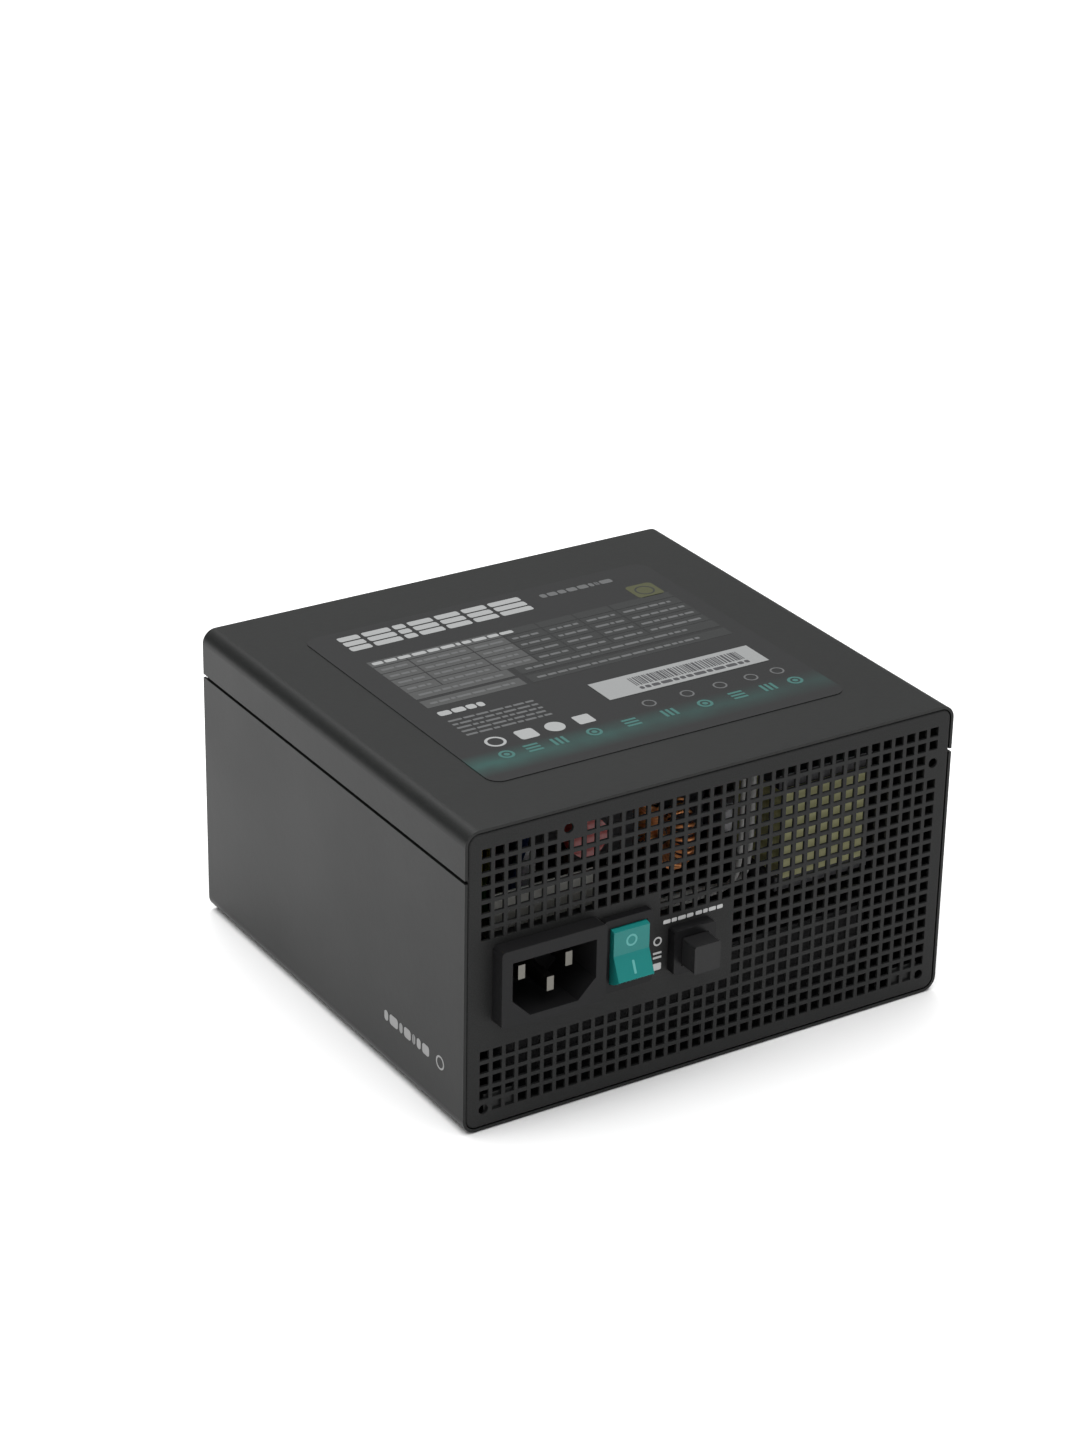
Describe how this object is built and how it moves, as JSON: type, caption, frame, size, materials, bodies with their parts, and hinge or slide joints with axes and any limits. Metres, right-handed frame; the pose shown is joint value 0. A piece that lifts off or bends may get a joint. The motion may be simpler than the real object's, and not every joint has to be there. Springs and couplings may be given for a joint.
{
  "type": "computer power supply unit",
  "caption": "Boxed power supply with a perforated rear, mains inlet, rocker switch, push switch, fan and output sockets.",
  "frame": {"origin": "centre of the fan intake in the base face, which is also the centre of that 150 by 140 mm face", "axes": "-Y is the rear face with the mains inlet and switches, +Y the face with the output sockets, +Z the labelled side"},
  "size_m": [0.15, 0.1489, 0.0863],
  "materials": {
    "black_steel": "semi-matte powder coat",
    "zinc_steel": "zinc plated",
    "label_film": "satin film",
    "white_film": "satin film",
    "black_plastic": "moulded",
    "teal_plastic": "translucent moulded",
    "brass": "bright",
    "magnet": "ferrite",
    "lamination": "stacked steel",
    "board": "solder mask",
    "insulator": "film",
    "yellow_plastic": "tape",
    "red_lacquer": "dipped",
    "ceramic": "glazed",
    "ferrite": "sintered",
    "copper": "enamelled wire",
    "heatsink": "extruded",
    "epoxy": "moulded",
    "can": "sleeved",
    "wire_white": "insulation",
    "wire_blue": "insulation",
    "wire_brown": "insulation",
    "wire_green": "insulation",
    "spring": "bright",
    "tin_copper": "tinned"
  },
  "bodies": {
    "case": {"label_panel": "black_steel", "fan_cover": "black_steel", "rear_panel": "black_steel", "front_panel": "black_steel", "corner_brackets": "black_steel", "cover_screws": "zinc_steel", "rating_label": "label_film", "serial_label": "white_film", "fan_grille": "black_steel", "fan_frame": "black_plastic", "fan_bearing": "brass", "fan_stator": "lamination", "fan_screws": "zinc_steel", "signal_leads": "wire_white", "inlet_housing": "black_plastic", "inlet_blades": "brass", "rocker_housing": "black_plastic", "rocker_terminals": "brass", "mode_housing": "black_plastic", "mode_spring": "spring", "mode_pins": "brass", "live_wire": "wire_brown", "neutral_wire": "wire_blue", "switched_wire": "wire_brown", "earth_wire": "wire_green", "main_board": "board", "board_standoffs": "zinc_steel", "board_screws": "zinc_steel", "insulating_sheet": "insulator", "modular_board": "board", "busbars": "tin_copper", "x_capacitor": "yellow_plastic", "surge_varistor": "red_lacquer", "line_fuse": "ceramic", "choke_core": "ferrite", "choke_windings": "copper", "bridge_rectifier": "epoxy", "primary_heatsink": "heatsink", "primary_transistors": "epoxy", "pfc_choke_core": "ferrite", "pfc_choke_winding": "yellow_plastic", "bulk_capacitors": "can", "transformer_core": "ferrite", "transformer_winding": "yellow_plastic", "standby_transformer": "yellow_plastic", "secondary_heatsink": "heatsink", "dc_dc_board": "board", "output_capacitors": "can", "socket_18pin": "black_plastic", "socket_10pin": "black_plastic", "socket_8pin_1": "black_plastic", "socket_8pin_2": "black_plastic", "socket_8pin_3": "black_plastic", "sockets_6pin": "black_plastic", "socket_pins": "brass"},
    "rocker": {"rocker_button": "teal_plastic"},
    "mode_key": {"mode_button": "black_plastic"},
    "rotor": {"fan_rotor": "black_plastic", "rotor_shaft": "zinc_steel", "rotor_magnet": "magnet"}
  },
  "joints": [
    {"name": "rocker", "type": "hinge", "parent": "case", "child": "rocker", "pos_m": [-0.0275, -0.0706, 0.041], "axis": [1, 0, 0], "range_deg": [0, 24]},
    {"name": "mode_press", "type": "slide", "parent": "case", "child": "mode_key", "axis": [0, 1, 0], "range_m": [0, 0.003], "stiffness_N_per_m": 300, "deforming": ["mode_spring"]},
    {"name": "fan_spin", "type": "hinge", "parent": "case", "child": "rotor", "pos_m": [0, 0, 0.014], "axis": [0, 0, 1], "continuous": true}
  ]
}
